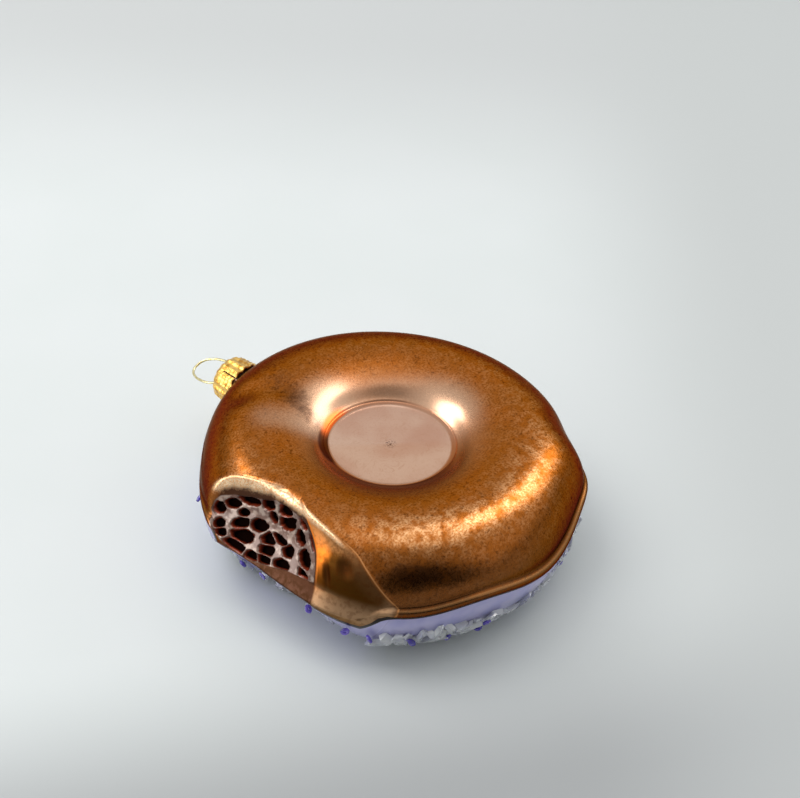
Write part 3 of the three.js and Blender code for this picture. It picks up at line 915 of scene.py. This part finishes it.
def makeCrystals():
    c = crystals
    generator = np.random.default_rng(c["seed"])
    lumps = [brokenLump(i, generator) for i in range(c["shapes"])]
    shapes = [meshParts(lump) for lump in lumps]
    azimuth, turn = spreadPlaces(c["spacing"], *c["turns"], generator)
    inBite, bare = bareIcing(azimuth, turn)
    kept = ~bare & (~inBite | (generator.random(len(azimuth)) < c["inBite"]))
    azimuth, turn = azimuth[kept], turn[kept]
    small, large = c["size"]
    placed = []
    for place, axes in icingSpots(azimuth, turn):
        shape, faces = shapes[generator.integers(len(shapes))]
        long = (small + (large - small) * generator.random() ** 1.3) / 2
        sides = [least + more * generator.random() for least, more in (c["wide"], c["thick"])]
        local = (shape * long * np.array([1, *sides])) @ turnMatrix(generator, c["lean"]).T
        local[:, 2] += 0.25 * long * (generator.random() - 0.1)
        local[:, 2] = np.minimum(local[:, 2], c["proud"] * (0.75 + 0.25 * generator.random()))
        placed.append((onIcing(place, axes, local), faces))
    piece = joinCopies("crystals", placed)
    for lump in lumps:
        bpy.data.objects.remove(lump)
    return piece


def makeBeads():
    b = beads
    generator = np.random.default_rng(b["seed"])
    deselectAll()
    bpy.ops.mesh.primitive_torus_add(
        major_segments=12, minor_segments=6, major_radius=b["radius"], minor_radius=b["thick"])
    ring = bpy.context.object
    shape, faces = meshParts(ring)
    low, high = b["turns"]
    azimuth = 360 * generator.random(b["count"])
    turn = low + (high - low) * generator.random(b["count"])
    inBite, bare = bareIcing(azimuth, turn)
    kept = ~inBite & ~bare
    azimuthShown, turnShown = zip(*b["places"])
    azimuth = np.concatenate([azimuth[kept], azimuthShown])
    turn = np.concatenate([turn[kept], turnShown])
    placed = []
    for place, axes in icingSpots(azimuth, turn):
        local = shape @ turnMatrix(generator, b["lean"]).T
        local[:, 2] += b["lift"]
        placed.append((onIcing(place, axes, local), faces))
    piece = joinCopies("beads", placed)
    bpy.data.objects.remove(ring)
    smooth(piece)
    return piece


# Node materials.
class Wire:
    def __init__(self, finish, socket):
        self.finish, self.socket = finish, socket

    def math(self, operation, first, second=0.0):
        return self.finish.node("Math", {"operation": operation}, {0: first, 1: second})

    def __add__(self, other):
        return self.math("ADD", self, other)

    __radd__ = __add__

    def __sub__(self, other):
        return self.math("SUBTRACT", self, other)

    def __rsub__(self, other):
        return self.math("SUBTRACT", other, self)

    def __mul__(self, other):
        return self.math("MULTIPLY", self, other)

    __rmul__ = __mul__

    def over(self, low, high):  # 0 below low, 1 above high
        step = {"interpolation_type": "SMOOTHSTEP"}
        return self.finish.node("MapRange", step, {0: self, 1: low, 2: high})

    def along(self, way):  # how far a place or direction reaches along a way
        dot = {"operation": "DOT_PRODUCT"}
        return self.finish.node("VectorMath", dot, {0: self, 1: way}, out=1)

    def between(self, low, high, soft):  # 1 from low to high, 0 outside
        return self.over(low - soft, low + soft) * (1 - self.over(high - soft, high + soft))


class Finish:
    def __init__(self, name, palette, kind="materials", place=3):
        self.palette = palette
        self.made = getattr(bpy.data, kind).new(name)
        self.made.use_nodes = True
        self.tree = self.made.node_tree
        self.tree.nodes.clear()
        self.place = self.node("TexCoord", out=place)

    def node(self, kind, settings=None, sockets=None, out=0):
        node = self.tree.nodes.new("ShaderNode" + kind)
        for key, value in (settings or {}).items():
            setattr(node, key, value)
        for key, value in (sockets or {}).items():
            if isinstance(value, Wire):
                self.tree.links.new(value.socket, node.inputs[key])
            else:
                node.inputs[key].default_value = value
        return Wire(self, node.outputs[out] if node.outputs else None)

    def noise(self, size, detail=2.0, distortion=0.0):  # size in millimetres
        settings = {"Vector": self.place, "Scale": 1000 / size, "Detail": detail}
        return self.node("TexNoise", {}, {**settings, "Distortion": distortion})

    def mask(self, name):
        return self.node("Attribute", {"attribute_name": name}, out=2)

    def mix(self, factor, first, second):  # each is a node's colour or a name in the palette
        first, second = (
            rgb(self.palette[one]) if isinstance(one, str) else one for one in (first, second))
        return self.node("Mix", {"data_type": "RGBA"}, {0: factor, 6: first, 7: second}, out=2)

    def shade(self, bump=None, bumpHeight=0.1, **sockets):  # bumpHeight in millimetres
        if bump is not None:
            settings = {"Strength": 1.0, "Distance": bumpHeight * mm, "Height": bump}
            sockets["Normal"] = self.node("Bump", {}, settings)
        named = {key.replace("_", " "): value for key, value in sockets.items()}
        shader = self.node("BsdfPrincipled", {}, named)
        self.node("OutputMaterial", {}, {"Surface": shader})
        return self.made


def rgb(colour):
    return (*colour, 1.0)


lacquer = {
    "brown": (0.33, 0.1, 0.016),
    "deep": (0.13, 0.06, 0.026),
    "dark": (0.07, 0.016, 0.002),
    "rust": (0.37, 0.1, 0.012),
    "gold": (0.56, 0.25, 0.09),
    "pale": (0.8, 0.5, 0.27),
    "rose": (0.36, 0.15, 0.06),
    "rosy": (0.52, 0.32, 0.2),
    "shadow": (0.06, 0.02, 0.008),
    "lip": (0.22, 0.066, 0.014),
    "lipHighlight": (0.34, 0.17, 0.065),
    "groove": (0.4, 0.13, 0.045),
    "glowing": (0.8, 0.14, 0.02),
    "disc": (0.5, 0.26, 0.165),
    "discPale": (0.6, 0.38, 0.265),
    "highlightCream": (1.0, 0.72, 0.45),
    "net": (0.36, 0.26, 0.21),
    "netDeep": (0.1, 0.035, 0.02),
    "poreRim": (0.26, 0.04, 0.015),
    "pore": (0.006, 0.002, 0.0015),
    "tan": (0.1, 0.04, 0.022),
    "facet": (0.7, 0.19, 0.022),
    "facetBrown": (0.07, 0.026, 0.004),
    "facetDark": (0.05, 0.016, 0.004),
    "facetPale": (0.42, 0.25, 0.135),
    "icing": (0.42, 0.42, 0.74),
    "icingPale": (0.52, 0.5, 0.78),
    "paintEdgeShadow": (0.005, 0.003, 0.003),
    "edgeTint": (0.34, 0.24, 0.16),
}
# The sizes of the lacquer's specks and blotches, in millimetres.
mottle = {
    "fine": 0.5, "grain": 1.1, "net": 2.2, "ragged": 2.6, "ripple": 3.5, "blotch": 9.0,
    "plate": 16.0,
}


def doughColour(f):  # the brown dough side and its rolled edge
    fine, grain, blotch, ragged, thin = f.fine, f.grain, f.blotch, f.ragged, f.thin
    brown = f.mix(blotch.over(0.35, 0.7) * 0.6, "brown", "rust")
    # Gold blotches and pale specks where the lacquer is thin: partly a painted highlight on the lit
    # band.
    brown = f.mix(ragged.over(0.34, 0.66) * (0.05 + 0.85 * thin), brown, "gold")
    pale = fine.over(0.44, 0.66) * ragged.over(0.38, 0.6)
    brown = f.mix(pale * (0.08 + 0.4 * thin), brown, "pale")
    speck = grain.over(0.54, 0.72) * (0.15 + 0.5 * blotch)
    brown = f.mix(speck + fine.over(0.52, 0.36) * (0.3 - 0.05 * thin), brown, "dark")
    # Darker towards the sides of the ring: painted shade.
    brown = f.mix((1 - f.sectionAngle.over(5, 48)) * 0.7, brown, "deep")
    brown = f.mix((1 - f.outwards) * 0.7, brown, "rose")
    # Pink where the lacquer is thin, set where the funnel's highlights fall: partly a painted
    # highlight.
    brown = f.mix((f.rosy + 0.3 * (fine - 0.5)).over(0.1, 0.9) * 0.85, brown, "rosy")
    # Painted shade: dark reflections on the near flank and in the valley from the neck.
    thick = f.thick + 0.9 * (ragged - 0.5) + 0.6 * (grain - 0.5)
    brown = f.mix(thick.over(0.2, 0.95) * 0.75, brown, "shadow")
    # Darker in the crease over the rolled edge: painted shade.
    brown = f.mix(f.overPaint.between(2.5, 3.0, 0.25) * 0.3, brown, "dark")
    lip = f.mix(grain.over(0.38, 0.66) * 0.6, "lip", "deep")
    # A light line along the top of the rolled edge: a painted highlight.
    lip = f.mix(f.overPaint.between(1.9, 2.4, 0.15) * 0.6, lip, "lipHighlight")
    return f.mix(f.overPaint.over(2.45, 2.75), lip, brown)


def discColour(f, around):  # the pink disc in the funnel and the groove round it
    fromAxis = f.fromAxis
    around = f.mix(fromAxis.between(15.0, 16.4, 0.3) * 0.5, around, "groove")
    # Painted shade in the groove, darkest on the left and the near side.
    around = f.mix(f.pooled.over(0.1, 0.6) * 0.95, around, "dark")
    # An orange-red crescent in the groove's upper left: a painted reflection.
    around = f.mix(f.glowing.over(0.1, 0.7) * 0.9, around, "glowing")
    ripples = f.noise(mottle["ripple"], 3, 2.5).between(0.49, 0.52, 0.015)
    centreSpeck = (1 - fromAxis.over(0.3, 2.2)) * f.fine.over(0.46, 0.6)
    plate = f.mix(f.noise(mottle["plate"], 2).over(0.35, 0.65), "disc", "discPale")
    plate = f.mix(ripples * 0.25, plate, "rose")
    return f.mix(f.disc, around, f.mix(centreSpeck * 0.8, plate, "dark"))


def netColour(f):  # the strands and the pores between them
    net = f.mix(f.noise(mottle["net"], 2).over(0.35, 0.55) * 0.9, "net", "netDeep")
    net = f.mix(f.pores.over(0.06, 0.25), net, "poreRim")
    return f.mix(f.pores.over(0.4, 0.85), net, "pore")


def facetColour(f):  # the flat tooth mark, orange along the cusp and tan at its foot
    fine, grain, ragged, angle = f.fine, f.grain, f.ragged, f.sectionAngle
    # Orange along the cusp, strongest high up: a painted highlight.
    offCusp = f.toCusp - 2.2 * angle.over(36, 56) + 1.5 * (ragged - 0.5)
    orange = (1 - offCusp.over(0.3, 3.0)) * (0.15 + 0.85 * angle.over(22, 48))
    facet = f.mix(orange, "facetBrown", "facet")
    facet = f.mix(f.toFacetEnd.over(7.0, 1.0) * 0.5, facet, "deep")
    # Gold at the facet's top: a painted highlight.
    facet = f.mix((angle + 12 * (fine - 0.5)).over(50, 66) * 0.7, facet, "gold")
    # Dark in the soft dents: painted shade.
    facet = f.mix(f.hollows * 0.9, facet, "facetDark")
    facet = f.mix((1 - f.overPaint.over(3.0, 8.0)) * 0.95, facet, "facetPale")
    return f.mix(grain.over(0.45, 0.68) * 0.35, facet, "dark")


def biteColour(f, colour):
    fine, angle, toCusp, overPaint = f.fine, f.sectionAngle, f.toCusp, f.overPaint
    wide, narrow, ridge = f.wideMark, f.narrowMark, f.ridge
    tan = f.mix(f.grain.over(0.35, 0.65), "tan", "facetDark")
    colour = f.mix(wide, colour, f.mix(overPaint.over(3, 6), tan, "shadow"))
    colour = f.mix(narrow, colour, facetColour(f))
    # A gold line along the crease at the facet's end: a painted highlight.
    creaseHighlight = f.toFacetEnd.between(-0.3, 0.1, 0.2) * narrow.over(0.0, 0.1)
    colour = f.mix(creaseHighlight, colour, "gold")
    colour = f.mix(f.inNet, colour, netColour(f))
    # A light line along the cusp: a painted highlight.
    atCusp = toCusp.between(-0.45, 0.15, 0.15) * wide.over(0, 0.2) * angle.over(5, 40)
    colour = f.mix(atCusp, colour, "facet")
    # Along the ridge over the bite: a painted highlight, cream to gold.
    bright = ridge + 0.9 * (fine - 0.5) + 0.7 * (f.ragged - 0.5)
    glow = f.mix(fine.over(0.4, 0.6) * 0.75, "highlightCream", "gold")
    return f.mix(bright.over(0.25, 1.0) * (1 - f.inNet) * 0.95, colour, glow)


def makeLacquer():
    f = Finish("lacquer", lacquer)
    names = [
        "fromAxis", "wideMark", "narrowMark", "pores", "hollows", "ridge", "toNet", "toCusp",
        "toFacetEnd", "overPaint", "thin", "thick", "rosy", "pooled", "glowing", "sectionAngle",
    ]
    for name in names:
        setattr(f, name, f.mask(name))
    for name, detail in (("fine", 3), ("grain", 3), ("blotch", 3), ("ragged", 4)):
        setattr(f, name, f.noise(mottle[name], detail))
    f.outwards = f.fromAxis.over(17, 27)
    f.disc = 1 - f.fromAxis.over(14.6, 15.2)
    f.inNet = f.toNet.over(-0.15, 0.15)
    icing = 1 - f.overPaint.over(-0.1, 0.1)
    colour = biteColour(f, discColour(f, doughColour(f)))
    paint = f.mix(f.blotch.over(0.4, 0.6), "icing", "icingPale")
    colour = f.mix(icing, colour, paint)
    # A black line along the paint's lower edge, under the rolled edge: painted shadow in the gap.
    colour = f.mix(f.overPaint.between(-1.0, 0.12, 0.1), colour, "paintEdgeShadow")

    outwards, disc, ridge, inNet, fine = f.outwards, f.disc, f.ridge, f.inNet, f.fine
    plain = (1 - icing) * (1 - inNet)
    inside = f.pores.over(0.1, 0.5) * inNet
    hollowMark = f.wideMark * (1 - ridge)
    metallic = (0.97 - 0.3 * disc - 0.45 * ridge) * (1 - 0.5 * hollowMark) * plain
    metallic = metallic + 0.2 * icing + (0.45 + 0.55 * inside) * inNet
    roughness = 0.22 + 0.12 * fine * outwards * (1 - icing) + 0.12 * f.narrowMark
    roughness = roughness + 0.15 * hollowMark - 0.08 * disc + 0.05 * (1 - outwards)
    roughness = roughness + 0.3 * inside + 0.15 * f.pooled
    clear = (1 - outwards) * (1 - f.pooled) * (1 - f.glowing)
    clear = 0.95 * clear * (0.15 + 0.85 * f.rosy.over(0, 0.5))
    coat = (clear + 0.1 * ridge) * plain + 0.6 * icing + 0.95 * inNet * (1 - inside)
    bump = (fine * 0.35 + f.grain) * outwards * plain * (1 - f.narrowMark * 0.8)
    bump = bump * (1 - ridge * 0.6) + f.noise(5, 2, 1.5) * disc * 2.4
    return f.shade(bump, 0.03, Base_Color=colour, Metallic=metallic, Roughness=roughness,
                   Coat_Weight=coat, Coat_Roughness=0.15, Specular_Tint=rgb(lacquer["edgeTint"]))


gold = {
    "goldSheet": {
        "pale": (0.88, 0.56, 0.15), "deep": (0.5, 0.24, 0.04), "patchy": 0.7,
        "sizes": (1.4, 0.4, 1.0), "bump": 0.03, "rough": (0.22, 0.2),
    },
    "springWire": {
        "pale": (0.72, 0.64, 0.36), "deep": (0.56, 0.48, 0.24), "patchy": 0.65,
        "sizes": (1.5, 0.3, 0.8), "bump": 0.015, "rough": (0.2, 0.15),
    },
}


def makeGold(name):
    g = gold[name]
    f = Finish(name, g)
    patch, grain, dull = (f.noise(size) for size in g["sizes"])
    colour = f.mix(patch.over(0.45, g["patchy"]), "pale", "deep")
    least, more = g["rough"]
    return f.shade(grain, g["bump"], Base_Color=colour, Metallic=1.0, Roughness=least + more * dull)


chip = {
    "clear": (0.98, 1.0, 1.0),
    "violet": (0.92, 0.94, 0.98),
    "bead": (0.05, 0.03, 0.34),
    "beadPale": (0.2, 0.13, 0.7),
}


def makeChipGlass():
    f = Finish("chipGlass", chip)
    colour = f.mix(f.noise(4).over(0.35, 0.65), "clear", "violet")
    rough = 0.03 + 0.1 * f.noise(2)
    return f.shade(f.noise(1.2, 3), 0.06, Base_Color=colour, Roughness=rough, IOR=1.5,
                   Transmission_Weight=0.55, Coat_Weight=1.0, Coat_Roughness=0.03)


def makeBeadGlass():
    f = Finish("beadGlass", chip)
    colour = f.mix(f.noise(3).over(0.4, 0.65), "bead", "beadPale")
    rough = 0.1 + 0.1 * f.noise(2)
    return f.shade(None, Base_Color=colour, Roughness=rough, Coat_Weight=0.6, Coat_Roughness=0.05)


def finishPiece(piece, material, node):
    piece.data.materials.append(material)
    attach(piece, "root")
    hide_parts(node)
    print(piece.name + ":", len(piece.data.polygons), "faces")


glassLacquer = makeLacquer()
body = spinProfile("glassBody", sectionPoints(), glass["columns"])
shapeGlassBody(body)
smooth(body)
finishPiece(body, glassLacquer, "glass_doughnut")
neckPiece = makeNeck()
smooth(neckPiece, 35)
for maskName, value in (("fromAxis", neck["from"]), ("overPaint", 9.0)):
    setMask(neckPiece, maskName, np.full(len(neckPiece.data.vertices), value))
finishPiece(neckPiece, glassLacquer, "glass_doughnut")
finishPiece(makeCrystals(), makeChipGlass(), "glass_doughnut")
finishPiece(makeBeads(), makeBeadGlass(), "glass_doughnut")
capPiece = makeCap()
smooth(capPiece, 40)
finishPiece(capPiece, makeGold("goldSheet"), "cap")
finishPiece(makeHanger(), makeGold("springWire"), "hanger_loop")

# The floor, the room, the camera and the lights.
cloth = {
    "pale": (0.7, 0.74, 0.735),
    "paler": (0.72, 0.755, 0.755),
    "near": (0.37, 0.385, 0.39),
    "right": (0.56, 0.585, 0.58),
    "back": (0.58, 0.6, 0.6),
    "nearSide": (-0.78, -0.63, 0.0),
    "rightSide": (0.63, -0.78, 0.0),
}
room = {
    "high": (0.42, 0.425, 0.43),
    "bright": (0.85, 0.86, 0.87),
    "low": (0.28, 0.28, 0.285),
    "glow": (1.6, 1.58, 1.56),
    "dark": (0.018, 0.018, 0.02),
    # Sides and heights of the bright and the dim part of the ceiling, and of the dark end of the
    # room, each with the cosines between which it fades in.
    "glowFrom": (345.0, 77.0, 0.88, 0.975),
    "highFrom": (232.0, 48.0, 0.82, 0.93),
    "darkFrom": (243.0, 12.0, 0.8, 0.95),
}


def makeFloor():
    deselectAll()
    bpy.ops.mesh.primitive_plane_add(size=6, location=(0, 0, 0))
    floor = bpy.context.object
    floor.name = "floor"
    f = Finish("floorCloth", cloth)
    near, right = f.place.along(cloth["nearSide"]), f.place.along(cloth["rightSide"])
    colour = f.mix(f.noise(60).over(0.3, 0.7), "pale", "paler")
    colour = f.mix(near.over(-0.12, -0.27), colour, "back")
    # Darker on the right and on the camera's side near the ornament: painted shade.
    colour = f.mix(right.over(0.035, 0.12), colour, "right")
    shaded = (near + 0.3 * right).over(0.04, 0.1) * (1 - 0.6 * right.over(0.05, 0.12))
    colour = f.mix(shaded, colour, "near")
    floor.data.materials.append(f.shade(None, Base_Color=colour, Roughness=0.8))


def sideWay(side, height):  # the direction of a side and a height in degrees
    side, height = side * degree, height * degree
    level = math.cos(height)
    return Vector((math.cos(side) * level, math.sin(side) * level, math.sin(height)))


def makeRoom():  # soft light from all round, dim overhead and darker behind the camera
    f = Finish("room", room, "worlds", 0)
    colour = f.mix(f.place.along((0, 0, 1)).over(0.0, 0.4), "low", "bright")
    for name in ("glow", "high", "dark"):
        side, height, low, high = room[name + "From"]
        colour = f.mix(f.place.along(sideWay(side, height)).over(low, high), colour, name)
    background = f.node("Background", {}, {"Color": colour, "Strength": 1.0})
    f.node("OutputWorld", {}, {"Surface": background})
    bpy.context.scene.world = f.made


# The camera's place is in millimetres and degrees from the ornament's middle.
camera = {
    "distance": 400.0,
    "elevation": 39.05,
    "azimuth": -51.0,
    "roll": 3.68,
    "lens": 72.75,
    "aim": (-0.00739, -0.04925),
}


def makeCamera():
    c = camera
    turn = Matrix.Rotation(c["azimuth"] * degree, 3, "Z")
    turn = turn @ Matrix.Rotation((90 - c["elevation"]) * degree, 3, "X")
    turn = turn @ Matrix.Rotation(c["roll"] * degree, 3, "Z")
    ahead = turn @ Vector((*c["aim"], -1))
    place = Vector((axisX, axisY, partingHeight)) - c["distance"] * ahead
    bpy.ops.object.camera_add(location=place * mm)
    made = bpy.context.object
    made.rotation_euler = turn.to_euler()
    made.data.lens = c["lens"]
    made.data.sensor_width = 36
    made.data.clip_start = 0.01
    bpy.context.scene.camera = made


# Each light's side and height in degrees, its distance and size in metres, its power and colour.
lights = {
    "softBox": (112, 58, 0.95, (0.6, 0.6), 3.4, (1, 0.99, 0.97)),
    "keyWindow": (345, 45, 0.8, (0.3, 0.6), 2.5, (1, 0.98, 0.96)),
    "sideWindow": (113, 46, 0.8, (0.42, 0.26), 2.2, (1, 0.98, 0.97)),
    "leftWindow": (148, 13, 0.8, (0.5, 0.38), 2.8, (1, 0.98, 0.96)),
}


def makeLight(name, side, height, away, size, power, colour):
    way = sideWay(side, height)
    bpy.ops.object.light_add(type="AREA", location=way * away)
    made = bpy.context.object
    made.name = name
    made.rotation_euler = way.to_track_quat("Z", "Y").to_euler()
    made.data.shape = "RECTANGLE"
    made.data.size, made.data.size_y = size
    made.data.energy = power
    made.data.color = colour
    # The windows show in the gloss alone, and the soft box in all else.
    made.visible_diffuse = name == "softBox"
    made.visible_glossy = name != "softBox"


bpy.context.scene.view_settings.view_transform = "Standard"
makeFloor()
makeRoom()
makeCamera()
for lightName, light in lights.items():
    makeLight(lightName, *light)
